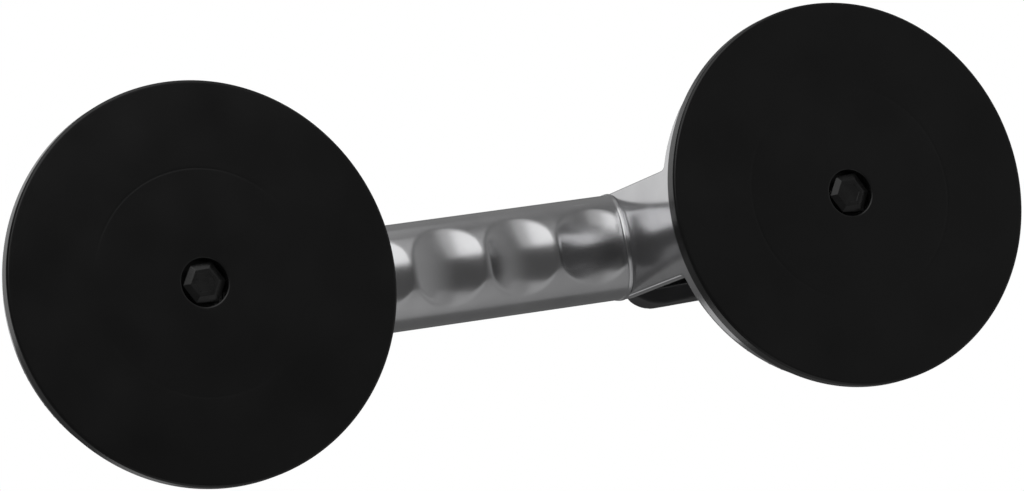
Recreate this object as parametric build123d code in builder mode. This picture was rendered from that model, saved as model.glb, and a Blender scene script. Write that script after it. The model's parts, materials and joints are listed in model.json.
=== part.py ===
from build123d import *
import os
from math import cos, radians, sin

# Two-cup suction lifter for floor tiles: a grip between two cam-lever suction heads.
# X runs along the grip, Z is up, and the suction faces of both discs lie on z = 0, midway between them.
# A head is modelled about the centre of its own disc, with the grip towards -X, and seated at both ends.
os.makedirs("parts", exist_ok=True)

# Fits between pieces
running_clearance = 0.05
press_clearance = 0.02
seat_gap = 0.05

# Rubber disc
disc_diameter = 120.0
disc_thickness = 5.0
disc_edge_round = 0.8
recess_diameter = 14.4

# Bell of the head casting
rim_inset = 3.0
bell_height = 17.5
bell_wall = 5.0
bell_roof = 4.0
bell_round = 4.0
bell_shoulder = 4.5
bell_rise = 2.5

# Neck: the bell's wall, drawn up on the inner side to take the grip
neck_thickness = 4.0
neck_width = 33.4
neck_edge_round = 0.7
spigot_radius = 12.0
spigot_length = 20.0
spigot_chamfer = 1.0

# Tower and ribs
tower_top_radius = 18.5
tower_foot_radius = 23.0
tower_foot_round = 5.0
rib_thickness = 4.0
rib_drop = 9.0
rib_root = 2.0
main_rib_thickness = 9.0
main_rib_drop = 7.0
rib_angles = (0, 60, 120, 240, 300)

# Grip
grip_length = 100.0
grip_radius = 16.6
grip_height = 59.5
bead_length = 2.2
bead_rise = 0.35
bead_chamfer = 0.3
finger_count = 4
finger_pitch = 24.5
finger_depth = 1.8
finger_end_depth = 0.7
finger_axis_rise = 8.5
ridge_round = 3.0
grip_pin_diameter = 5.0
grip_pin_length = 13.0
grip_pin_inset = 9.0
grip_pin_sink = 0.8
pin_chamfer = 0.6

# Draw stud, plate and nut
stud_diameter = 8.0
eye_radius = 8.5
eye_width = 10.0
plate_diameter = 68.0
plate_thickness = 3.0
nut_setback = 0.8
nut_width = 12.0
nut_end_width = 8.7
nut_taper = 2.0
nut_floor = 2.0

# Spring, washer and bush
washer_diameter = 26.0
washer_thickness = 1.5
spring_wire = 1.8
spring_diameter = 16.6
spring_turns = 4
spring_pocket_radius = 14.5
bush_diameter = 13.0
bush_flange_diameter = 21.0
bush_flange_thickness = 2.0
bush_flange_height = 26.0

# Cam lever
pin_height = 62.0
pin_diameter = 8.0
cam_low = 12.0
draw_travel = 4.0
lever_swing = 136.0
cam_overrun = 10.0
cam_clearance = 0.1
lever_hub_width = 36.4
lever_tip_width = 38.6
lever_reach = 46.0
lever_tip_rise = 18.5
lever_tip_thickness = 8.5
lever_knee = 27.0
lever_knee_rise = 1.5
lever_crown = 5.0
lever_crown_drop = 1.5
lever_skin = 3.5
lever_tip_wall = 5.0
lever_mid_rib = 3.0
lever_cheek = 4.5
lever_corner_round = 11.0
tip_undercut = 2.5
tip_round = 3.0
knee_round = 20.0
pocket_round = 2.0
cam_steps = 12
slot_side_gap = 0.4
slot_end = 12.0
ring_diameter = 13.0
ring_thickness = 1.2
wear_plate_thickness = 1.5
wear_plate_inset = 1.0
wear_plate_gap = 1.0

# Places that follow from the sizes above, in the frame of one head
bell_radius = disc_diameter / 2 - rim_inset
neck_middle = -(bell_radius - neck_thickness / 2)
cup_spacing = grip_length + 2 * bell_radius
roof_underside = bell_height - bell_roof
wear_plate_top = pin_height - cam_low - cam_clearance
tower_top = wear_plate_top - wear_plate_thickness
plate_bottom = disc_thickness + seat_gap
plate_top = plate_bottom + plate_thickness
washer_top = plate_top + washer_thickness
pocket_top = bush_flange_height + bush_flange_thickness
bush_bore_radius = bush_diameter / 2 + press_clearance
stud_bottom = nut_setback + nut_floor
pocket_width = lever_hub_width / 2 - lever_cheek - lever_mid_rib / 2
pocket_length = lever_reach - lever_tip_wall - slot_end - lever_skin
cam_rise = draw_travel / radians(lever_swing)
head_seats = {
    "left": Location((-cup_spacing / 2, 0, 0), (0, 0, 180)),
    "right": Location((cup_spacing / 2, 0, 0)),
}


def write_pair(solid, name):
    """Write one head piece twice, seated at the left and the right end of the grip."""
    for side, seat in head_seats.items():
        piece = solid.moved(seat)
        piece.label = f"{name}_{side}"
        export_step(piece, f"parts/{piece.label}.step")


def cam_point(turn):
    """Point of the cam outline that faces down when the lever has turned by this many degrees."""
    angle = radians(turn)
    height = cam_low + cam_rise * angle
    return (
        height * sin(angle) + cam_rise * cos(angle),
        pin_height - height * cos(angle) + cam_rise * sin(angle),
    )


# Bead round the right end of the grip, where it meets the neck
with BuildPart() as bead:
    with BuildSketch(Plane.YZ):
        with Locations((0, grip_height)):
            Circle(grip_radius + bead_rise)
    extrude(amount=cup_spacing / 2)
    with BuildSketch():
        with Locations((cup_spacing / 2, 0)):
            Circle(bell_radius + bead_length)
            Circle(bell_radius + press_clearance, mode=Mode.SUBTRACT)
    extrude(amount=2 * grip_height, mode=Mode.INTERSECT)
    chamfer(bead.faces().sort_by(SortBy.AREA)[0].edges(), bead_chamfer)

# Grip: a hollow casting with finger hollows along its underside, its ends cut to the round of the necks
finger_axis = Axis((0, 0, grip_height + finger_axis_rise), (1, 0, 0))
grip_underside = grip_height - grip_radius
finger_floor = grip_underside + finger_depth
last_ridge = (finger_count / 2 - 1) * finger_pitch
last_finger = last_ridge + finger_pitch / 2
hollow_end = grip_length / 2 + bead_length
grip_bore = spigot_radius + press_clearance
with BuildPart() as grip_tube:
    with BuildSketch(Plane.YZ):
        with Locations((0, grip_height)):
            Circle(grip_radius)
    extrude(amount=cup_spacing / 2, both=True)
    with BuildSketch(Plane.XZ) as finger_hollows:
        with BuildLine():
            for finger in range(1, finger_count - 1):
                low = (finger - finger_count / 2) * finger_pitch
                middle = low + finger_pitch / 2
                high = low + finger_pitch
                ThreePointArc((low, grip_underside), (middle, finger_floor), (high, grip_underside))
            for end in (-1, 1):
                ThreePointArc(
                    (end * last_ridge, grip_underside),
                    (end * last_finger, finger_floor),
                    (end * hollow_end, grip_underside + finger_end_depth),
                )
            Polyline(
                (hollow_end, grip_underside + finger_end_depth),
                (hollow_end, grip_underside - grip_radius),
                (-hollow_end, grip_underside - grip_radius),
                (-hollow_end, grip_underside + finger_end_depth),
            )
        make_face()
        ridges = finger_hollows.vertices().filter_by_position(Axis.X, -last_finger, last_finger)
        fillet(ridges, ridge_round)
    revolve(axis=finger_axis, mode=Mode.SUBTRACT)
    add(bead.part)
    add(bead.part, rotation=(0, 0, 180))
    with BuildSketch(Plane.YZ):
        with Locations((0, grip_height)):
            Circle(grip_bore)
    extrude(amount=cup_spacing, both=True, mode=Mode.SUBTRACT)
    with BuildSketch():
        with GridLocations(cup_spacing, 1, 2, 1):
            Circle(bell_radius + press_clearance)
    extrude(amount=2 * grip_height, mode=Mode.SUBTRACT)
    with BuildSketch(Plane.XY.offset(grip_height)):
        with GridLocations(grip_length - 2 * grip_pin_inset, 1, 2, 1):
            Circle(grip_pin_diameter / 2 + press_clearance)
    extrude(amount=2 * grip_radius, mode=Mode.SUBTRACT)
grip_tube.part.label = "grip_tube"
export_step(grip_tube.part, "parts/grip_tube.step")

# Dowel that locks the grip on the spigot, driven in from above
grip_pin_x = -bell_radius - grip_pin_inset
grip_pin_top = grip_height + grip_radius - grip_pin_sink
with BuildPart() as grip_pin:
    with BuildSketch(Plane.XY.offset(grip_pin_top)):
        with Locations((grip_pin_x, 0)):
            Circle(grip_pin_diameter / 2)
    extrude(amount=-grip_pin_length)
    chamfer(grip_pin.edges().filter_by(GeomType.CIRCLE), pin_chamfer)
write_pair(grip_pin.part, "grip_pin")

# Neck: a strip of the bell's round wall with a round top as wide as the grip
with BuildPart() as neck:
    with BuildSketch(Plane.YZ):
        with Locations((0, roof_underside)):
            Rectangle(neck_width, grip_height - roof_underside, align=(Align.CENTER, Align.MIN))
        with Locations((0, grip_height)):
            Circle(neck_width / 2)
    extrude(amount=-bell_radius)
    with BuildSketch():
        Circle(bell_radius)
        Circle(bell_radius - neck_thickness, mode=Mode.SUBTRACT)
    extrude(amount=2 * grip_height, mode=Mode.INTERSECT)
    neck_faces = neck.faces().sort_by(Axis.X)
    fillet(neck_faces[0].outer_wire().edges().sort_by(Axis.Z)[1:], neck_edge_round)

# Head casting: bell and tower in one turned section, with neck, spigot and ribs
with BuildPart() as head_casting:
    with BuildSketch(Plane.XZ):
        with BuildLine():
            Polyline(
                (bell_radius, disc_thickness),
                (bell_radius, bell_height),
                (bell_radius - bell_shoulder, bell_height),
                (tower_foot_radius, bell_height + bell_rise),
                (tower_top_radius, tower_top),
                (bush_bore_radius, tower_top),
                (bush_bore_radius, pocket_top),
                (spring_pocket_radius, pocket_top),
                (spring_pocket_radius, roof_underside),
                (bell_radius - bell_wall, roof_underside),
                (bell_radius - bell_wall, disc_thickness),
                close=True,
            )
        make_face()
    revolve(axis=Axis.Z)
    rim_edges = head_casting.edges().filter_by(GeomType.CIRCLE).group_by(SortBy.RADIUS)[-1]
    fillet(rim_edges.sort_by(Axis.Z)[-1], bell_round)
    tower_edges = head_casting.edges().filter_by(GeomType.CIRCLE).filter_by_position(
        Axis.Z, bell_height + bell_rise / 2, tower_top
    )
    fillet(tower_edges.sort_by(SortBy.RADIUS)[-1], tower_foot_round)
    add(neck.part)
    with BuildSketch(Plane.YZ.offset(neck_middle)):
        with Locations((0, grip_height)):
            Circle(spigot_radius)
    extrude(amount=-spigot_length)
    chamfer(head_casting.faces().sort_by(Axis.X)[0].edges(), spigot_chamfer)
    with BuildSketch(Plane.XZ):
        Polygon(
            (neck_middle, roof_underside),
            (-tower_top_radius, roof_underside),
            (-tower_top_radius, tower_top - main_rib_drop),
            (neck_middle, grip_height),
            align=None,
        )
    extrude(amount=main_rib_thickness / 2, both=True)
    for angle in rib_angles:
        outward = (cos(radians(angle)), sin(radians(angle)), 0)
        across = (sin(radians(angle)), -cos(radians(angle)), 0)
        with BuildSketch(Plane(origin=(0, 0, 0), x_dir=outward, z_dir=across)):
            Polygon(
                (spring_pocket_radius + rib_root, roof_underside + rib_root),
                (bell_radius - bell_shoulder, roof_underside + rib_root),
                (bell_radius - bell_shoulder, bell_height),
                (spring_pocket_radius + rib_root, tower_top - rib_drop),
                align=None,
            )
        extrude(amount=rib_thickness / 2, both=True)
    with BuildSketch(Plane.XY.offset(grip_pin_top - grip_pin_length)):
        with Locations((grip_pin_x, 0)):
            Circle(grip_pin_diameter / 2 + press_clearance)
    extrude(amount=2 * grip_pin_length, mode=Mode.SUBTRACT)
write_pair(head_casting.part, "head_casting")

# Rubber disc with the round recess for the nut
with BuildPart() as rubber_disc:
    Cylinder(disc_diameter / 2, disc_thickness, align=(Align.CENTER, Align.CENTER, Align.MIN))
    Hole(recess_diameter / 2)
    disc_edges = rubber_disc.edges().filter_by(GeomType.CIRCLE).group_by(SortBy.RADIUS)[-1]
    fillet(disc_edges, disc_edge_round)
write_pair(rubber_disc.part, "rubber_disc")

# Steel plate on the middle of the rubber
with BuildPart() as backing_plate:
    with BuildSketch(Plane.XY.offset(plate_bottom)):
        Circle(plate_diameter / 2)
        Circle(stud_diameter / 2 + press_clearance, mode=Mode.SUBTRACT)
    extrude(amount=plate_thickness)
    plate_edges = backing_plate.edges().filter_by(GeomType.CIRCLE).group_by(SortBy.RADIUS)[-1]
    fillet(plate_edges.sort_by(Axis.Z)[-1], plate_thickness / 3)
write_pair(backing_plate.part, "backing_plate")

# Hexagon nut in the recess, tapered towards its end, with a blind thread bore from above
with BuildPart() as hex_nut:
    with BuildSketch(Plane.XY.offset(nut_setback)):
        RegularPolygon(nut_end_width / 2, 6, major_radius=False)
    with BuildSketch(Plane.XY.offset(nut_setback + nut_taper)):
        RegularPolygon(nut_width / 2, 6, major_radius=False)
    loft()
    extrude(hex_nut.faces().sort_by(Axis.Z)[-1], amount=plate_bottom - nut_setback - nut_taper)
    with BuildSketch(Plane.XY.offset(plate_bottom)):
        Circle(stud_diameter / 2 + press_clearance)
    extrude(amount=stud_bottom - plate_bottom, mode=Mode.SUBTRACT)
write_pair(hex_nut.part, "hex_nut")

# Draw stud: an eye for the cam pin on a round shank
with BuildPart() as draw_stud:
    with BuildSketch(Plane.XZ):
        with Locations((0, pin_height)):
            Circle(eye_radius)
    extrude(amount=eye_width / 2, both=True)
    chamfer(draw_stud.edges().filter_by(GeomType.CIRCLE), pin_chamfer)
    with BuildSketch(Plane.XY.offset(stud_bottom)):
        Circle(stud_diameter / 2)
    extrude(amount=pin_height - stud_bottom)
    with BuildSketch(Plane.XZ):
        with Locations((0, pin_height)):
            Circle(pin_diameter / 2 + running_clearance)
    extrude(amount=eye_width, both=True, mode=Mode.SUBTRACT)
write_pair(draw_stud.part, "draw_stud")

# Washer under the spring
with BuildPart() as spring_washer:
    with BuildSketch(Plane.XY.offset(plate_top)):
        Circle(washer_diameter / 2)
        Circle(stud_diameter / 2 + press_clearance, mode=Mode.SUBTRACT)
    extrude(amount=washer_thickness)
write_pair(spring_washer.part, "spring_washer")

# Return spring between the washer and the bush's flange
spring_low = washer_top + spring_wire / 2 + seat_gap
spring_high = bush_flange_height - spring_wire / 2 - seat_gap
with BuildPart() as return_spring:
    with BuildLine() as coil:
        Helix(
            pitch=(spring_high - spring_low) / spring_turns,
            height=spring_high - spring_low,
            radius=spring_diameter / 2,
            center=(0, 0, spring_low),
        )
    with BuildSketch(Plane(origin=coil.line @ 0, z_dir=coil.line % 0)):
        Circle(spring_wire / 2)
    sweep(is_frenet=True)
write_pair(return_spring.part, "return_spring")

# Flanged bush that guides the stud through the tower
with BuildPart() as guide_bush:
    with BuildSketch(Plane.XY.offset(bush_flange_height)):
        Circle(bush_flange_diameter / 2)
    extrude(amount=bush_flange_thickness)
    with BuildSketch(Plane.XY.offset(pocket_top)):
        Circle(bush_diameter / 2)
    extrude(amount=tower_top - pocket_top)
    with BuildSketch(Plane.XY.offset(bush_flange_height)):
        Circle(stud_diameter / 2 + running_clearance)
    extrude(amount=tower_top - bush_flange_height, mode=Mode.SUBTRACT)
write_pair(guide_bush.part, "guide_bush")

# Hardened plate on the tower that both cam lobes run on
with BuildPart() as wear_plate:
    with BuildSketch(Plane.XY.offset(tower_top)):
        Circle(tower_top_radius - wear_plate_inset)
        Circle(stud_diameter / 2 + wear_plate_gap, mode=Mode.SUBTRACT)
    extrude(amount=wear_plate_thickness)
write_pair(wear_plate.part, "wear_plate")

# Cam lever: the outline follows the cam round the hub, then the arm out to the thumb end
cam_end = cam_point(lever_swing + cam_overrun)
cam_end_turn = radians(lever_swing + cam_overrun)
crown = (cam_end[0] + lever_crown * cos(cam_end_turn), cam_end[1] + lever_crown * sin(cam_end_turn))
tip_top = (-lever_reach, pin_height + lever_tip_rise)
tip_bottom = (-lever_reach + tip_undercut, pin_height + lever_tip_rise - lever_tip_thickness)
knee = (-lever_knee, pin_height + lever_knee_rise)
cam_turns = [-cam_overrun + step * (lever_swing + 2 * cam_overrun) / cam_steps for step in range(cam_steps + 1)]
ring_seat = lever_hub_width / 2 - ring_thickness
with BuildPart() as lever:
    with BuildSketch(Plane.XZ) as outline:
        with BuildLine():
            Spline(*[cam_point(turn) for turn in cam_turns])
            Polyline(cam_end, crown, tip_top, tip_bottom, knee, cam_point(-cam_overrun))
        make_face()
        fillet(outline.vertices().sort_by(Axis.X)[:2], tip_round)
        fillet(outline.vertices().filter_by_position(Axis.X, knee[0] - 1, knee[0] + 1), knee_round)
    extrude(amount=lever_tip_width, both=True)
    with BuildSketch() as plan:
        with BuildLine():
            Polyline(
                (-lever_reach, -lever_tip_width / 2),
                (0, -lever_hub_width / 2),
                (lever_reach, -lever_hub_width / 2),
                (lever_reach, lever_hub_width / 2),
                (0, lever_hub_width / 2),
                (-lever_reach, lever_tip_width / 2),
                close=True,
            )
        make_face()
        fillet(plan.vertices().sort_by(Axis.X)[:2], lever_corner_round)
    extrude(amount=2 * pin_height, mode=Mode.INTERSECT)
    with BuildSketch():
        with Locations((-slot_end, 0)):
            Rectangle(lever_reach, eye_width + 2 * slot_side_gap, align=(Align.MIN, Align.CENTER))
    extrude(amount=2 * pin_height, mode=Mode.SUBTRACT)
    with BuildSketch(Plane.XY.offset(pin_height + lever_tip_rise - lever_crown_drop - lever_skin)):
        with Locations((-(lever_reach - lever_tip_wall + slot_end + lever_skin) / 2, 0)):
            with GridLocations(1, pocket_width + lever_mid_rib, 1, 2):
                RectangleRounded(pocket_length, pocket_width, pocket_round)
    extrude(amount=-2 * cam_low, mode=Mode.SUBTRACT)
    with BuildSketch(Plane.XZ):
        with Locations((0, pin_height)):
            Circle(pin_diameter / 2 + press_clearance)
    extrude(amount=lever_tip_width, both=True, mode=Mode.SUBTRACT)
    for flank in (-1, 1):
        with BuildSketch(Plane.XZ.offset(flank * ring_seat)):
            with Locations((0, pin_height)):
                Circle(ring_diameter / 2 + running_clearance)
        extrude(amount=flank * lever_tip_width, mode=Mode.SUBTRACT)
write_pair(lever.part, "lever")

# Cam pin through the lever and the stud's eye
with BuildPart() as cam_pin:
    with BuildSketch(Plane.XZ):
        with Locations((0, pin_height)):
            Circle(pin_diameter / 2)
    extrude(amount=lever_hub_width / 2, both=True)
    chamfer(cam_pin.edges().filter_by(GeomType.CIRCLE), pin_chamfer)
write_pair(cam_pin.part, "cam_pin")

# Retaining rings on both ends of the cam pin, sunk in the lever's cheeks
with BuildPart() as pin_rings:
    for flank in (-1, 1):
        with BuildSketch(Plane.XZ.offset(flank * ring_seat)):
            with Locations((0, pin_height)):
                Circle(ring_diameter / 2)
                Circle(pin_diameter / 2 + press_clearance, mode=Mode.SUBTRACT)
        extrude(amount=flank * ring_thickness)
write_pair(pin_rings.part, "pin_rings")
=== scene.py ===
import json
from math import atan2, copysign, cos, pi, radians, sin, sqrt

import bmesh
import bpy
from mathutils import Matrix, Quaternion, Vector

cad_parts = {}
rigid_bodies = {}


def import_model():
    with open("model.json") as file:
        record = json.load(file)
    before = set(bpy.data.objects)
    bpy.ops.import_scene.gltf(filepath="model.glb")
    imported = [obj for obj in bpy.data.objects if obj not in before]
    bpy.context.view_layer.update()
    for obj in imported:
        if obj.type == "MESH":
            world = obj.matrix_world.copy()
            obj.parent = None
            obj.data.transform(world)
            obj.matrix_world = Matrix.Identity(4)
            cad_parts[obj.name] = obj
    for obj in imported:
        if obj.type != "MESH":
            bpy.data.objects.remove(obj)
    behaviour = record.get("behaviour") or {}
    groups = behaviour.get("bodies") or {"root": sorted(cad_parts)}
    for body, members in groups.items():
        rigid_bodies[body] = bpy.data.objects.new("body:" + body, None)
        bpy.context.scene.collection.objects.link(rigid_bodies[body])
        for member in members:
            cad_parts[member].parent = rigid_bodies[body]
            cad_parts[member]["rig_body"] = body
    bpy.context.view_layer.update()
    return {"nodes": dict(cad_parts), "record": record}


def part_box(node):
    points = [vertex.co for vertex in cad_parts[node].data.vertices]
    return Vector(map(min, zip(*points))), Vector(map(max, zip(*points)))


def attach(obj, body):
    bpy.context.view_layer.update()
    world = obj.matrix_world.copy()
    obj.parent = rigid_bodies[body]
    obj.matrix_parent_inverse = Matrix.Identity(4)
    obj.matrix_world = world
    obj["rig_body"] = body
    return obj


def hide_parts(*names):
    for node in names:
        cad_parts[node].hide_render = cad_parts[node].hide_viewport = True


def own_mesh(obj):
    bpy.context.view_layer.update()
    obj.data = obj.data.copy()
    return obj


# Two-cup suction lifter for floor tiles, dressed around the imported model.
# Metres. X runs along the grip, Z is up, and both discs rest with their suction faces on z = 0.
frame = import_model()
MM = 0.001
SIDES = ("left", "right")

# Places taken from the frame
grip_low, grip_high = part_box("grip_tube")
BEAD_RADIUS = (grip_high.z - grip_low.z) / 2
GRIP_HEIGHT = (grip_high.z + grip_low.z) / 2
disc_low, disc_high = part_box("rubber_disc_right")
DISC_RADIUS = (disc_high.y - disc_low.y) / 2
DISC_THICKNESS = disc_high.z - disc_low.z
HEAD_X = {"left": -(disc_low.x + disc_high.x) / 2, "right": (disc_low.x + disc_high.x) / 2}
BELL_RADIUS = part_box("head_casting_right")[1].x - HEAD_X["right"]
nut_low, nut_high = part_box("hex_nut_right")
NUT_WIDTH = min(nut_high.x - nut_low.x, nut_high.y - nut_low.y)
spring_low, spring_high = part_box("return_spring_right")
plate_low, plate_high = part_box("backing_plate_right")
PLATE_RADIUS = (plate_high.y - plate_low.y) / 2

# Grip: finger hollows along the underside, ends cut to the round necks, a fine bead at each seam
BEAD_RISE = 0.35 * MM
GRIP_RADIUS = BEAD_RADIUS - BEAD_RISE
GRIP_BORE = 12.02 * MM
NECK_GAP = 0.02 * MM
GRIP_NOSE = HEAD_X["right"] - BELL_RADIUS - NECK_GAP
BEAD_LENGTH = 1.3 * MM
BEAD_FILLET = 0.2 * MM
FINGER_COUNT = 4
FINGER_PITCH = 24.5 * MM
FINGER_DEPTH = 1.8 * MM
FINGER_END_DEPTH = 0.65 * MM
FINGER_SHIFT = 1.3 * MM
FINGER_AXIS_RISE = 8.5 * MM
RIDGE_ROUND = 1.6 * MM
HOLLOW_BLEND = 0.25 * MM
END_SHEAR_START = 36 * MM
GRIP_SIDES = 160
GRIP_CREASE_ANGLE = radians(50)
RIDGE_SAMPLES = 4
# Rounds of cuts along the underside; one round makes 100 cuts at most
GRIP_CUTS = (95, 3)
BEAD_CUTS = (16,)

# Rubber disc: recess for the nut, soft edges, and the faint print of the plate behind it
RECESS_RADIUS = 7.2 * MM
RECESS_ROUND = 0.5 * MM
DISC_ROUND = 0.8 * MM
EDGE_SUPPORT = 0.4 * MM
PRINT_WIDTH = 0.9 * MM
PRINT_DEPTH = 0.06 * MM
ROUND_STEPS = 6
DISC_SIDES = 240

# Nut: hexagon with a tapered, dished end, which reaches a little lower than its node's
NUT_END_WIDTH = 7.8 * MM
NUT_TAPER = 1.3 * MM
NUT_REACH = 0.6 * MM
NUT_TURN = radians(30)
NUT_EDGE_ROUND = 0.35 * MM
NUT_ROUND_STEPS = 4
NUT_DISH_RIM = 0.9 * MM
NUT_DISH_DEPTH = 0.1 * MM

# Return spring
SPRING_WIRE = 1.8 * MM
SPRING_TURNS = 4
SPRING_STEPS = 48
WIRE_SIDES = 16

# Smoothing and softening
MERGE_GAP = 0.002 * MM
CREASE_ANGLE = radians(32)
FACING = 0.999
RELAX_FACTOR = 0.5
CASTING_GRID = 0.72 * MM
CASTING_SOFTENING = 4
WALL_SLACK = 0.12 * MM
LEVER_GRID = 0.42 * MM
LEVER_SOFTENING = 6

# Shared effects: the stretch of a noise that is used, its middle, and where scuffs gather
CLOUD_RANGE = (0.3, 0.7)
NOISE_MIDDLE = 0.5
SCUFF_PATCH_SCALE = 90
SCUFF_PATCH_LIMIT = 0.6

# Camera, floor and light
CAMERA_PLACE = Vector((-0.60564, 0.15391, -1.32523))
CAMERA_AIM = Vector((0.00471, -0.00167, 0.03))
CAMERA_ROLL = radians(113.635)
CAMERA_LENS = 172.09
SENSOR_WIDTH = 36
FLOOR_SIZE = 8
FLOOR_DROP = 0.4 * MM
FLOOR_TONE = 0.86
LIGHT_AIM = Vector((0, 0, GRIP_HEIGHT / 2))
SEEN_WHITE = 1.0
MATT_LIGHT = 0.5


# Modelling helpers


def clear_selection():
    """Go back to object mode with nothing selected, so that the next operator acts on one piece alone."""
    if bpy.context.object and bpy.context.object.mode != "OBJECT":
        bpy.ops.object.mode_set(mode="OBJECT")
    bpy.ops.object.select_all(action="DESELECT")


def take_up(piece):
    """Make one piece the only selected and active one."""
    clear_selection()
    piece.select_set(True)
    bpy.context.view_layer.objects.active = piece


def draw_outline(name, points):
    """Draw a chain of edges through the points and leave it selected in edit mode."""
    clear_selection()
    bpy.ops.mesh.primitive_plane_add(size=MM)
    piece = bpy.context.object
    piece.name = name
    piece.data.name = name
    bpy.ops.object.mode_set(mode="EDIT")
    bpy.ops.mesh.merge(type="CENTER")
    bpy.ops.transform.translate(value=points[0])
    for start, end in zip(points, points[1:]):
        step = Vector(end) - Vector(start)
        bpy.ops.mesh.extrude_vertices_move(TRANSFORM_OT_translate={"value": step})
    bpy.ops.mesh.select_all(action="SELECT")
    return piece


def close_turning():
    """Merge the seam of a turned outline, point all faces outwards and go back to object mode."""
    bpy.ops.mesh.select_all(action="SELECT")
    bpy.ops.mesh.remove_doubles(threshold=MERGE_GAP)
    bpy.ops.mesh.normals_make_consistent(inside=False)
    bpy.ops.object.mode_set(mode="OBJECT")


def smooth_finish(piece):
    """Shade smooth up to the crease angle, with the normals of flat faces kept flat."""
    take_up(piece)
    bpy.ops.object.shade_smooth_by_angle(angle=CREASE_ANGLE)
    finish = piece.modifiers.new("flat faces", "WEIGHTED_NORMAL")
    finish.keep_sharp = True
    bpy.ops.object.modifier_apply(modifier=finish.name)


def quarter_round(middle, radius, first):
    """Points (radius, height) of a quarter turn about a middle point, from a starting angle in degrees."""
    turns = [radians(first + 90 * step / ROUND_STEPS) for step in range(ROUND_STEPS + 1)]
    return [(middle[0] + radius * cos(turn), middle[1] + radius * sin(turn)) for turn in turns]


def moved_copy(piece, name, shift):
    """A copy with its own mesh, moved in its mesh so that the object stays at the origin."""
    copy = piece.copy()
    copy.data = piece.data.copy()
    copy.name = name
    copy.data.name = name
    copy.data.transform(Matrix.Translation(shift))
    bpy.context.scene.collection.objects.link(copy)
    return copy


def joined_copy(node):
    """A copy of a node of the frame with its loose triangles joined, so that round faces shade smoothly."""
    source = frame["nodes"][node]
    piece = bpy.data.objects.new(node + ".dressed", source.data.copy())
    piece.data.name = piece.name
    bpy.context.scene.collection.objects.link(piece)
    take_up(piece)
    bpy.ops.object.mode_set(mode="EDIT")
    bpy.ops.mesh.select_all(action="SELECT")
    bpy.ops.mesh.remove_doubles(threshold=MERGE_GAP)
    bpy.ops.object.mode_set(mode="OBJECT")
    return piece


def select_faces(piece, wanted):
    """In edit mode, select only the faces that pass a test."""
    body = bmesh.from_edit_mesh(piece.data)
    for face in body.faces:
        face.select_set(wanted(face))
    body.select_flush_mode()
    bmesh.update_edit_mesh(piece.data)


def true_up(piece, middle_x):
    """Bring the casting's outer wall back to an exact round, so that it mirrors without ripples."""
    for vertex in piece.data.vertices:
        radius = sqrt((vertex.co.x - middle_x) ** 2 + vertex.co.y ** 2)
        if abs(radius - BELL_RADIUS) < WALL_SLACK:
            stretch = BELL_RADIUS / radius
            vertex.co.x = middle_x + (vertex.co.x - middle_x) * stretch
            vertex.co.y *= stretch


def soften(piece, grid, rounds):
    """Rebuild a piece on an even grid and relax it, so that edges and inner corners get a cast radius."""
    take_up(piece)
    rebuild = piece.modifiers.new("even grid", "REMESH")
    rebuild.mode = "VOXEL"
    rebuild.voxel_size = grid
    rebuild.use_smooth_shade = True
    bpy.ops.object.modifier_apply(modifier=rebuild.name)
    relax = piece.modifiers.new("relax", "SMOOTH")
    relax.factor = RELAX_FACTOR
    relax.iterations = rounds
    bpy.ops.object.modifier_apply(modifier=relax.name)
    bpy.ops.object.shade_smooth()


def dress(piece, node, finish):
    """Let a piece stand for its node: the same body, the same material slot, the finish of that slot."""
    slot = next(part["material_slot"] for part in frame["record"]["subparts"] if part["node"] == node)
    piece.data.materials.clear()
    piece.data.materials.append(finish[slot])
    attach(piece, frame["nodes"][node]["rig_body"])
    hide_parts(node)


# Pieces


def hollow_depth(x):
    """Depth of the hollows at a station, with sharp ridges; the end ones are shallow at the beads."""
    off_middle = x - FINGER_SHIFT
    last_ridge = (FINGER_COUNT / 2 - 1) * FINGER_PITCH
    if abs(off_middle) < last_ridge:
        share = off_middle / FINGER_PITCH % 1
        return 4 * FINGER_DEPTH * share * (1 - share)
    end_length = GRIP_NOSE - BEAD_LENGTH - copysign(FINGER_SHIFT, off_middle) - last_ridge
    share = min(1.0, (abs(off_middle) - last_ridge) / end_length)
    return 4 * FINGER_DEPTH * share * (1 - share) + FINGER_END_DEPTH * share * (2 * share - 1)


def finger_depth(x):
    """Depth of the finger hollows with the ridges rounded over."""
    steps = range(-RIDGE_SAMPLES, RIDGE_SAMPLES + 1)
    return sum(hollow_depth(x + RIDGE_ROUND * step / RIDGE_SAMPLES) for step in steps) / len(steps)


def soft_lesser(one, other, blend):
    """The lesser of two radii, with the corner between them rounded over."""
    overlap = max(blend - abs(one - other), 0.0) / blend
    return min(one, other) - overlap * overlap * blend / 4


def seam_shift(across):
    """How far the round neck falls back from the grip's nose at a distance from the middle plane."""
    reach = BELL_RADIUS + NECK_GAP
    return reach - sqrt(reach**2 - across**2)


def bead_radius(inset):
    """Radius of the bead at a distance from the seam: a quarter round that is fullest at the seam."""
    share = min(1.0, max(0.0, inset / BEAD_LENGTH))
    return GRIP_RADIUS + BEAD_RISE * sqrt(1 - share**2)


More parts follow.
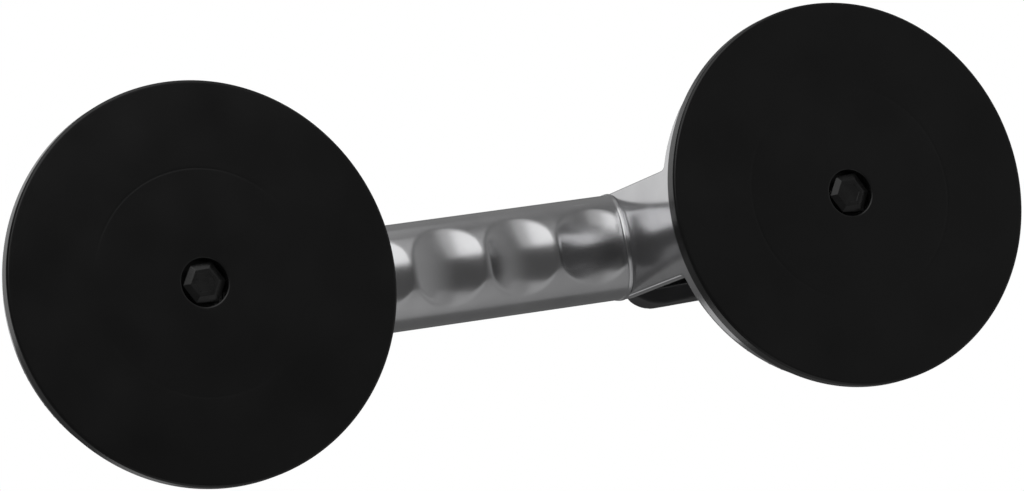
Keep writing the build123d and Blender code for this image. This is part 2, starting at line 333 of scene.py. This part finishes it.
def shape_grip(place):
    """Move one point of the plain tube: fit its end to the neck, press the hollow in, raise the bead."""
    across, down = place.y, GRIP_HEIGHT - place.z
    radius = sqrt(across**2 + down**2)
    turn = atan2(across, down)
    inset = GRIP_NOSE - abs(place.x)
    ramp = (abs(place.x) - END_SHEAR_START) / (GRIP_NOSE - BEAD_LENGTH - END_SHEAR_START)
    share = max(0.0, min(1.0, ramp))
    end = 1 if place.x > 0 else -1
    place.x += end * share * seam_shift(across)
    if radius < (GRIP_BORE + GRIP_RADIUS) / 2:
        return
    reach = FINGER_AXIS_RISE + GRIP_RADIUS - finger_depth(place.x)
    hollow = sqrt(reach**2 - (FINGER_AXIS_RISE * sin(turn)) ** 2) - FINGER_AXIS_RISE * cos(turn)
    wall = soft_lesser(GRIP_RADIUS, hollow, HOLLOW_BLEND)
    if inset < BEAD_LENGTH:
        wall = -soft_lesser(-wall, -bead_radius(inset), BEAD_FILLET)
    place.y = wall * sin(turn)
    place.z = GRIP_HEIGHT - wall * cos(turn)


def make_grip():
    """Turn a tube about the grip's axis, then shape its hollows, beads and ends."""
    floor = GRIP_HEIGHT - GRIP_RADIUS
    bore = GRIP_HEIGHT - GRIP_BORE
    bead_start = GRIP_NOSE - BEAD_LENGTH
    underside = [(x, 0, floor) for x in (-GRIP_NOSE, -bead_start, bead_start, GRIP_NOSE)]
    corners = underside + [(GRIP_NOSE, 0, bore), (-GRIP_NOSE, 0, bore)]
    piece = draw_outline("grip_tube.dressed", corners + corners[:1])
    for rounds, at_bead in ((GRIP_CUTS, False), (BEAD_CUTS, True)):
        bpy.ops.mesh.select_all(action="DESELECT")
        outline = bmesh.from_edit_mesh(piece.data)
        for edge in outline.edges:
            middle = (edge.verts[0].co + edge.verts[1].co) / 2
            on_floor = abs(middle.z - floor) < MERGE_GAP
            edge.select_set(on_floor and (abs(middle.x) > bead_start) == at_bead)
        for cuts in rounds:
            bpy.ops.mesh.subdivide(number_cuts=cuts)
    bpy.ops.mesh.select_all(action="SELECT")
    axis_point = (0, 0, GRIP_HEIGHT)
    bpy.ops.mesh.spin(steps=GRIP_SIDES, angle=2 * pi, center=axis_point, axis=(1, 0, 0))
    close_turning()
    for vertex in piece.data.vertices:
        shape_grip(vertex.co)
    take_up(piece)
    bpy.ops.object.shade_smooth_by_angle(angle=GRIP_CREASE_ANGLE)
    return piece


def make_disc():
    """Turn the section of a rubber disc about the right head's axis."""
    low_round = (DISC_RADIUS - DISC_ROUND, DISC_ROUND)
    high_round = (DISC_RADIUS - DISC_ROUND, DISC_THICKNESS - DISC_ROUND)
    inner_flat = RECESS_RADIUS + RECESS_ROUND + EDGE_SUPPORT
    outer_flat = DISC_RADIUS - DISC_ROUND - EDGE_SUPPORT
    section = [(RECESS_RADIUS, DISC_THICKNESS)]
    section += quarter_round((RECESS_RADIUS + RECESS_ROUND, RECESS_ROUND), RECESS_ROUND, 180)
    section += [(inner_flat, 0)]
    section += [(PLATE_RADIUS - PRINT_WIDTH, 0), (PLATE_RADIUS - PRINT_WIDTH / 2, PRINT_DEPTH)]
    section += [(PLATE_RADIUS, PRINT_DEPTH), (PLATE_RADIUS + PRINT_WIDTH / 2, 0)]
    section += [(outer_flat, 0)]
    section += quarter_round(low_round, DISC_ROUND, 270)
    section += quarter_round(high_round, DISC_ROUND, 0)
    section += [(outer_flat, DISC_THICKNESS)]
    points = [(HEAD_X["right"] + radius, 0, height) for radius, height in section + section[:1]]
    piece = draw_outline("rubber_disc_right.dressed", points)
    bpy.ops.mesh.spin(steps=DISC_SIDES, angle=2 * pi, center=(HEAD_X["right"], 0, 0), axis=(0, 0, 1))
    close_turning()
    smooth_finish(piece)
    return piece


def make_nut():
    """Model a hexagon with a tapered end, rounded edges and a shallow dish in its end face."""
    clear_selection()
    bpy.ops.mesh.primitive_cone_add(
        vertices=6,
        radius1=NUT_END_WIDTH / sqrt(3),
        radius2=NUT_WIDTH / sqrt(3),
        depth=NUT_TAPER,
        rotation=(0, 0, NUT_TURN),
        location=(HEAD_X["right"], 0, nut_low.z - NUT_REACH + NUT_TAPER / 2),
    )
    piece = bpy.context.object
    piece.name = "hex_nut_right.dressed"
    bpy.ops.object.transform_apply(location=True, rotation=True, scale=True)
    bpy.ops.object.mode_set(mode="EDIT")
    select_faces(piece, lambda face: face.normal.z > FACING)
    rest = nut_high.z - nut_low.z + NUT_REACH - NUT_TAPER
    bpy.ops.mesh.extrude_region_move(TRANSFORM_OT_translate={"value": (0, 0, rest)})
    bpy.ops.mesh.select_all(action="SELECT")
    bpy.ops.mesh.bevel(
        offset=NUT_EDGE_ROUND, offset_type="WIDTH", segments=NUT_ROUND_STEPS, affect="EDGES"
    )
    select_faces(piece, lambda face: face.normal.z < -FACING)
    bpy.ops.mesh.inset(thickness=NUT_DISH_RIM, depth=0)
    bpy.ops.mesh.inset(thickness=NUT_DISH_DEPTH, depth=-NUT_DISH_DEPTH)
    bpy.ops.object.mode_set(mode="OBJECT")
    smooth_finish(piece)
    return piece


def make_spring():
    """Wind a round wire up the right head's axis and close both ends."""
    clear_selection()
    coil_radius = (spring_high.y - spring_low.y - SPRING_WIRE) / 2
    rise = spring_high.z - spring_low.z - SPRING_WIRE
    bpy.ops.mesh.primitive_circle_add(
        vertices=WIRE_SIDES, radius=SPRING_WIRE / 2, rotation=(pi / 2, 0, 0)
    )
    piece = bpy.context.object
    piece.name = "return_spring_right.dressed"
    bpy.ops.transform.translate(value=(coil_radius, 0, 0))
    bpy.ops.object.transform_apply(location=True, rotation=True, scale=True)
    wind = piece.modifiers.new("wind", "SCREW")
    wind.screw_offset = rise / SPRING_TURNS
    wind.iterations = SPRING_TURNS
    wind.steps = SPRING_STEPS
    wind.render_steps = SPRING_STEPS
    bpy.ops.object.modifier_apply(modifier=wind.name)
    bpy.ops.object.mode_set(mode="EDIT")
    bpy.ops.mesh.select_all(action="SELECT")
    bpy.ops.mesh.fill_holes(sides=0)
    bpy.ops.mesh.select_all(action="SELECT")
    bpy.ops.transform.translate(value=(HEAD_X["right"], 0, spring_low.z + SPRING_WIRE / 2))
    close_turning()
    take_up(piece)
    bpy.ops.object.shade_smooth_by_angle(angle=CREASE_ANGLE)
    return piece


# Shared effects


def new_effect(name, inputs, output, kind):
    """A node group with named float or colour inputs and one output."""
    group = bpy.data.node_groups.new(name, "ShaderNodeTree")
    for label, value in inputs.items():
        is_colour = isinstance(value, tuple)
        socket_type = "NodeSocketColor" if is_colour else "NodeSocketFloat"
        socket = group.interface.new_socket(name=label, in_out="INPUT", socket_type=socket_type)
        socket.default_value = value
    group.interface.new_socket(name=output, in_out="OUTPUT", socket_type=kind)
    entry = group.nodes.new("NodeGroupInput")
    leave = group.nodes.new("NodeGroupOutput")
    return group, entry, leave


def stretched_place(group, entry):
    """Object coordinates scaled by the effect's own X, Y and Z stretch."""
    place = group.nodes.new("ShaderNodeTexCoord")
    stretch = group.nodes.new("ShaderNodeCombineXYZ")
    scale = group.nodes.new("ShaderNodeVectorMath")
    scale.operation = "MULTIPLY"
    for axis in "XYZ":
        group.links.new(entry.outputs["Stretch " + axis], stretch.inputs[axis])
    group.links.new(place.outputs["Object"], scale.inputs[0])
    group.links.new(stretch.outputs[0], scale.inputs[1])
    return scale.outputs[0]


def math_step(nodes, operation, fixed=None):
    """A Math node with its operation and, where one is given, a fixed second value."""
    node = nodes.new("ShaderNodeMath")
    node.operation = operation
    if fixed is not None:
        node.inputs[1].default_value = fixed
    return node


def drifting_cloud(group, entry, detail):
    """A slow noise over the surface, with the middle of its range spread over the whole output."""
    place = group.nodes.new("ShaderNodeTexCoord")
    cloud = group.nodes.new("ShaderNodeTexNoise")
    cloud.inputs["Detail"].default_value = detail
    spread = group.nodes.new("ShaderNodeMapRange")
    for socket, value in zip(("From Min", "From Max"), CLOUD_RANGE):
        spread.inputs[socket].default_value = value
    group.links.new(place.outputs["Object"], cloud.inputs["Vector"])
    group.links.new(entry.outputs["Scale"], cloud.inputs["Scale"])
    group.links.new(cloud.outputs["Fac"], spread.inputs["Value"])
    return spread


def tone_drift_effect():
    """Slow drift between two tones over the surface."""
    inputs = {"Dark": (0.4, 0.4, 0.4, 1), "Light": (0.6, 0.6, 0.6, 1), "Scale": 40.0}
    group, entry, leave = new_effect("tone drift", inputs, "Color", "NodeSocketColor")
    spread = drifting_cloud(group, entry, detail=4)
    mix = group.nodes.new("ShaderNodeMix")
    mix.data_type = "RGBA"
    group.links.new(spread.outputs["Result"], mix.inputs["Factor"])
    group.links.new(entry.outputs["Dark"], mix.inputs["A"])
    group.links.new(entry.outputs["Light"], mix.inputs["B"])
    group.links.new(mix.outputs["Result"], leave.inputs["Color"])
    return group


def grain_effect():
    """Fine grain as a height, drawn out along one axis where a tool or a wire die has left lines."""
    inputs = {"Scale": 1500.0, "Detail": 3.0, "Stretch X": 1.0, "Stretch Y": 1.0, "Stretch Z": 1.0}
    group, entry, leave = new_effect("surface grain", inputs, "Height", "NodeSocketFloat")
    grain = group.nodes.new("ShaderNodeTexNoise")
    group.links.new(stretched_place(group, entry), grain.inputs["Vector"])
    group.links.new(entry.outputs["Scale"], grain.inputs["Scale"])
    group.links.new(entry.outputs["Detail"], grain.inputs["Detail"])
    group.links.new(grain.outputs["Fac"], leave.inputs["Height"])
    return group


def gloss_drift_effect():
    """Roughness that wanders between two values, as on a handled surface."""
    inputs = {"Low": 0.3, "High": 0.4, "Scale": 60.0}
    group, entry, leave = new_effect("gloss drift", inputs, "Roughness", "NodeSocketFloat")
    spread = drifting_cloud(group, entry, detail=6)
    group.links.new(entry.outputs["Low"], spread.inputs["To Min"])
    group.links.new(entry.outputs["High"], spread.inputs["To Max"])
    group.links.new(spread.outputs["Result"], leave.inputs["Roughness"])
    return group


def scuff_effect():
    """Sparse hairline marks as a mask, each a short stretch of a drawn-out noise's ridge."""
    inputs = {"Scale": 220.0, "Width": 0.012, "Stretch X": 0.12, "Stretch Y": 1.0, "Stretch Z": 1.0}
    group, entry, leave = new_effect("hairline scuffs", inputs, "Mask", "NodeSocketFloat")
    line = group.nodes.new("ShaderNodeTexNoise")
    line.inputs["Detail"].default_value = 1
    middle = math_step(group.nodes, "SUBTRACT", NOISE_MIDDLE)
    away = math_step(group.nodes, "ABSOLUTE")
    near = math_step(group.nodes, "LESS_THAN")
    patch = group.nodes.new("ShaderNodeTexNoise")
    patch.inputs["Scale"].default_value = SCUFF_PATCH_SCALE
    sparse = math_step(group.nodes, "GREATER_THAN", SCUFF_PATCH_LIMIT)
    both = math_step(group.nodes, "MULTIPLY")
    place = stretched_place(group, entry)
    group.links.new(place, line.inputs["Vector"])
    group.links.new(place, patch.inputs["Vector"])
    group.links.new(entry.outputs["Scale"], line.inputs["Scale"])
    group.links.new(line.outputs["Fac"], middle.inputs[0])
    group.links.new(middle.outputs[0], away.inputs[0])
    group.links.new(away.outputs[0], near.inputs[0])
    group.links.new(entry.outputs["Width"], near.inputs[1])
    group.links.new(patch.outputs["Fac"], sparse.inputs[0])
    group.links.new(near.outputs[0], both.inputs[0])
    group.links.new(sparse.outputs[0], both.inputs[1])
    group.links.new(both.outputs[0], leave.inputs["Mask"])
    return group


# Finishes


class Finish:
    """One material with a Principled shader, and short ways to place shared effects in it."""

    def __init__(self, name, metallic, **constants):
        self.material = bpy.data.materials.new(name)
        self.material.use_nodes = True
        self.nodes = self.material.node_tree.nodes
        self.links = self.material.node_tree.links
        self.shader = self.nodes["Principled BSDF"]
        self.shader.inputs["Metallic"].default_value = metallic
        for label, value in constants.items():
            self.shader.inputs[label.replace("_", " ")].default_value = value

    def effect(self, group, **values):
        """The output of a shared effect, placed with this finish's own values."""
        node = self.nodes.new("ShaderNodeGroup")
        node.node_tree = group
        for label, value in values.items():
            node.inputs[label.replace("_", " ")].default_value = value
        return node.outputs[0]

    def tone(self, dark, light, scale):
        """A colour that drifts between two tones."""
        return self.effect(tone_drift, Dark=(*dark, 1), Light=(*light, 1), Scale=scale)

    def colour(self, socket):
        """Let a colour be the surface's own."""
        self.links.new(socket, self.shader.inputs["Base Color"])

    def gloss(self, low, high, scale):
        """Let the roughness wander between two values."""
        roughness = self.effect(gloss_drift, Low=low, High=high, Scale=scale)
        self.links.new(roughness, self.shader.inputs["Roughness"])

    def marked(self, colour, mask, mark, share):
        """The colour, part way to the mark's colour where the mask is set."""
        strength = math_step(self.nodes, "MULTIPLY", share)
        mix = self.nodes.new("ShaderNodeMix")
        mix.data_type = "RGBA"
        mix.inputs["B"].default_value = (*mark, 1)
        self.links.new(mask, strength.inputs[0])
        self.links.new(strength.outputs[0], mix.inputs["Factor"])
        self.links.new(colour, mix.inputs["A"])
        return mix.outputs["Result"]

    def relief(self, height, depth, below=None):
        """A bump of this depth, laid over another bump's normal if one is given."""
        bump = self.nodes.new("ShaderNodeBump")
        bump.inputs["Distance"].default_value = depth
        self.links.new(height, bump.inputs["Height"])
        if below:
            self.links.new(below, bump.inputs["Normal"])
        self.links.new(bump.outputs["Normal"], self.shader.inputs["Normal"])
        return bump.outputs["Normal"]


def grip_aluminium():
    """Satin polished casting with faint polishing lines along the grip."""
    finish = Finish("grip_aluminium", 1.0)
    tone = finish.tone((0.54, 0.54, 0.55), (0.62, 0.62, 0.63), 55)
    scuffs = finish.effect(hairline_scuffs, Scale=260, Width=0.01)
    finish.colour(finish.marked(tone, scuffs, (0.72, 0.72, 0.72), 0.35))
    finish.gloss(0.19, 0.25, 90)
    lines = finish.effect(surface_grain, Scale=900, Detail=2, Stretch_X=0.08)
    finish.relief(lines, 0.004 * MM)
    return finish.material


def cast_aluminium():
    """Bright die casting, nearly a mirror, with a very fine pebble left in its skin."""
    finish = Finish("cast_aluminium", 1.0)
    finish.colour(finish.tone((0.54, 0.54, 0.55), (0.64, 0.64, 0.65), 45))
    finish.gloss(0.13, 0.19, 70)
    pebble = finish.effect(surface_grain, Scale=1600, Detail=2)
    finish.relief(pebble, 0.003 * MM)
    return finish.material


def disc_rubber():
    """Smooth black rubber with a slight bloom."""
    finish = Finish("disc_rubber", 0.0, Specular_IOR_Level=0.4)
    finish.colour(finish.tone((0.003, 0.003, 0.003), (0.005, 0.005, 0.005), 30))
    finish.gloss(0.2, 0.27, 50)
    skin = finish.effect(surface_grain, Scale=2600, Detail=2)
    finish.relief(skin, 0.006 * MM)
    return finish.material


def lever_plastic():
    """Black moulding with a fine spark-eroded grain."""
    finish = Finish("lever_plastic", 0.0, Specular_IOR_Level=0.45)
    finish.colour(finish.tone((0.014, 0.014, 0.015), (0.022, 0.022, 0.023), 60))
    finish.gloss(0.42, 0.54, 80)
    grain = finish.effect(surface_grain, Scale=2200, Detail=3)
    finish.relief(grain, 0.03 * MM)
    return finish.material


def plated_steel():
    """Zinc plate with its faint cool and warm bloom."""
    finish = Finish("plated_steel", 1.0)
    finish.colour(finish.tone((0.56, 0.58, 0.60), (0.68, 0.66, 0.60), 130))
    finish.gloss(0.24, 0.36, 150)
    skin = finish.effect(surface_grain, Scale=1800, Detail=2)
    finish.relief(skin, 0.005 * MM)
    return finish.material


def spring_steel():
    """Drawn wire, darker than the plate."""
    finish = Finish("spring_steel", 1.0)
    finish.colour(finish.tone((0.30, 0.30, 0.31), (0.44, 0.44, 0.44), 160))
    finish.gloss(0.28, 0.4, 200)
    lines = finish.effect(surface_grain, Scale=2500, Detail=2)
    finish.relief(lines, 0.006 * MM)
    return finish.material


def bush_brass():
    """Turned brass with fine tool rings up its length."""
    finish = Finish("bush_brass", 1.0)
    finish.colour(finish.tone((0.50, 0.35, 0.14), (0.66, 0.49, 0.22), 90))
    finish.gloss(0.26, 0.36, 120)
    rings = finish.effect(surface_grain, Scale=3000, Detail=1, Stretch_X=0.03, Stretch_Y=0.03)
    finish.relief(rings, 0.008 * MM)
    return finish.material


def black_steel():
    """Black coated steel, the coat a little thin in places."""
    finish = Finish("black_steel", 0.0, Specular_IOR_Level=0.4)
    finish.colour(finish.tone((0.004, 0.004, 0.004), (0.008, 0.008, 0.008), 250))
    finish.gloss(0.24, 0.34, 300)
    skin = finish.effect(surface_grain, Scale=2400, Detail=2)
    finish.relief(skin, 0.008 * MM)
    return finish.material


# Stage, light and camera


def lay_floor():
    """A pale floor that is seen, and takes shadows, only from above."""
    clear_selection()
    bpy.ops.mesh.primitive_plane_add(size=FLOOR_SIZE, location=(0, 0, -FLOOR_DROP))
    floor = bpy.context.object
    floor.name = "floor"
    material = bpy.data.materials.new("pale_floor")
    material.use_nodes = True
    nodes, links = material.node_tree.nodes, material.node_tree.links
    nodes.clear()
    output = nodes.new("ShaderNodeOutputMaterial")
    path = nodes.new("ShaderNodeLightPath")
    side = nodes.new("ShaderNodeNewGeometry")
    seen = math_step(nodes, "SUBTRACT")
    seen.use_clamp = True
    clear = nodes.new("ShaderNodeBsdfTransparent")
    pale = nodes.new("ShaderNodeBsdfDiffuse")
    pale.inputs["Color"].default_value = (FLOOR_TONE, FLOOR_TONE, FLOOR_TONE, 1)
    mix = nodes.new("ShaderNodeMixShader")
    links.new(path.outputs["Is Camera Ray"], seen.inputs[0])
    links.new(side.outputs["Backfacing"], seen.inputs[1])
    links.new(seen.outputs[0], mix.inputs["Fac"])
    links.new(clear.outputs[0], mix.inputs[1])
    links.new(pale.outputs[0], mix.inputs[2])
    links.new(mix.outputs[0], output.inputs["Surface"])
    floor.data.materials.append(material)


def light_world():
    """White to the camera, an even soft light on matt surfaces, and a graded studio in reflections."""
    world = bpy.data.worlds.new("studio")
    bpy.context.scene.world = world
    world.use_nodes = True
    nodes, links = world.node_tree.nodes, world.node_tree.links
    nodes.clear()
    output = nodes.new("ShaderNodeOutputWorld")
    background = nodes.new("ShaderNodeBackground")
    background.inputs["Color"].default_value = (1, 1, 1, 1)
    path = nodes.new("ShaderNodeLightPath")
    place = nodes.new("ShaderNodeTexCoord")
    axes = nodes.new("ShaderNodeSeparateXYZ")
    links.new(place.outputs["Generated"], axes.inputs[0])
    backward = nodes.new("ShaderNodeVectorMath")
    backward.operation = "DOT_PRODUCT"
    backward.inputs[1].default_value = (-0.5, -0.85, 0)
    links.new(place.outputs["Generated"], backward.inputs[0])
    # Each grade: what it reads, where it starts and ends, and its brightness at the start and the end
    grades = {
        "high": (backward.outputs["Value"], -0.05, 0.3, 0.12, 0.25),
        "low": (axes.outputs["X"], 0.34, 0.78, 0.075, 0.33),
        "rise": (axes.outputs["Z"], -0.3, 0.4, 0.0, 1.0),
    }
    for label, (source, *limits) in grades.items():
        grade = nodes.new("ShaderNodeMapRange")
        grade.name = label
        for socket, value in zip(("From Min", "From Max", "To Min", "To Max"), limits):
            grade.inputs[socket].default_value = value
        links.new(source, grade.inputs["Value"])
    mirrored = nodes.new("ShaderNodeMix")
    links.new(nodes["rise"].outputs["Result"], mirrored.inputs["Factor"])
    links.new(nodes["low"].outputs["Result"], mirrored.inputs["A"])
    links.new(nodes["high"].outputs["Result"], mirrored.inputs["B"])
    lighting = nodes.new("ShaderNodeMix")
    lighting.inputs["A"].default_value = MATT_LIGHT
    links.new(path.outputs["Is Glossy Ray"], lighting.inputs["Factor"])
    links.new(mirrored.outputs["Result"], lighting.inputs["B"])
    seen = nodes.new("ShaderNodeMix")
    seen.inputs["B"].default_value = SEEN_WHITE
    links.new(path.outputs["Is Camera Ray"], seen.inputs["Factor"])
    links.new(lighting.outputs["Result"], seen.inputs["A"])
    links.new(seen.outputs["Result"], background.inputs["Strength"])
    links.new(background.outputs[0], output.inputs["Surface"])


def hang_lamp(name, direction, distance, size, radiance):
    """A soft lamp that faces the object from a direction, its size given along X and across it."""
    lamp = bpy.data.lights.new(name, "AREA")
    lamp.shape = "RECTANGLE"
    lamp.size, lamp.size_y = size
    lamp.energy = radiance * pi * size[0] * size[1]
    holder = bpy.data.objects.new(name, lamp)
    bpy.context.scene.collection.objects.link(holder)
    towards = Vector(direction).normalized()
    across = (Vector((1, 0, 0)) - towards * towards.x).normalized()
    turn = Matrix((across, towards.cross(across), towards)).transposed()
    holder.location = LIGHT_AIM + towards * distance
    holder.rotation_mode = "QUATERNION"
    holder.rotation_quaternion = turn.to_quaternion()
    holder.visible_camera = False


def set_camera():
    """The photograph's view: from below and to the left, turned so that the grip rises to the right."""
    camera = bpy.data.cameras.new("camera")
    camera.sensor_width = SENSOR_WIDTH
    camera.lens = CAMERA_LENS
    holder = bpy.data.objects.new("camera", camera)
    bpy.context.scene.collection.objects.link(holder)
    holder.location = CAMERA_PLACE
    look = (CAMERA_AIM - CAMERA_PLACE).to_track_quat("-Z", "Y")
    holder.rotation_mode = "QUATERNION"
    holder.rotation_quaternion = look @ Quaternion((0, 0, 1), -CAMERA_ROLL)
    bpy.context.scene.camera = holder


# Stage
bpy.context.scene.view_settings.view_transform = "Standard"
set_camera()
light_world()
lay_floor()
hang_lamp("key", (-0.21, -0.76, -0.64), 1.0, (0.98, 1.4), 0.75)
hang_lamp("key_edge", (-0.1, -0.76, -0.64), 1.0, (1.2, 1.4), 0.45)
hang_lamp("brow", (-0.1, -0.97, 0.18), 1.1, (1.2, 0.6), 0.18)
hang_lamp("back", (-0.2, -0.27, 0.94), 1.2, (0.85, 0.68), 0.56)
hang_lamp("rim", (-0.12, 0.46, 0.88), 0.6, (0.16, 0.16), 0.42)
hang_lamp("fill", (-0.02, 0.95, -0.31), 1.0, (0.9, 1.4), 0.21)
hang_lamp("fill_edge", (0.3, 0.9, -0.3), 1.0, (0.9, 1.4), 0.14)

# Finishes by the record's slot names
tone_drift = tone_drift_effect()
surface_grain = grain_effect()
gloss_drift = gloss_drift_effect()
hairline_scuffs = scuff_effect()
finish_makers = (
    grip_aluminium,
    cast_aluminium,
    disc_rubber,
    lever_plastic,
    plated_steel,
    spring_steel,
    bush_brass,
    black_steel,
)
finishes = {maker.__name__: maker() for maker in finish_makers}

# Pieces modelled here
dress(make_grip(), "grip_tube", finishes)
pair_makers = {"rubber_disc": make_disc, "hex_nut": make_nut, "return_spring": make_spring}
to_left = Vector((HEAD_X["left"] - HEAD_X["right"], 0, 0))
for kind, maker in pair_makers.items():
    right_piece = maker()
    left_piece = moved_copy(right_piece, f"{kind}_left.dressed", to_left)
    for side, piece in zip(SIDES, (left_piece, right_piece)):
        dress(piece, f"{kind}_{side}", finishes)
        if kind == "return_spring":
            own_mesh(piece)

# Pieces that start from the frame's own shapes
modelled = {"grip_tube"} | {f"{kind}_{side}" for kind in pair_makers for side in SIDES}
for node in sorted(set(frame["nodes"]) - modelled):
    piece = joined_copy(node)
    if node.startswith("head_casting"):
        soften(piece, CASTING_GRID, CASTING_SOFTENING)
        true_up(piece, HEAD_X[node.removeprefix("head_casting_")])
    elif node.startswith("lever"):
        soften(piece, LEVER_GRID, LEVER_SOFTENING)
    else:
        smooth_finish(piece)
    dress(piece, node, finishes)
clear_selection()
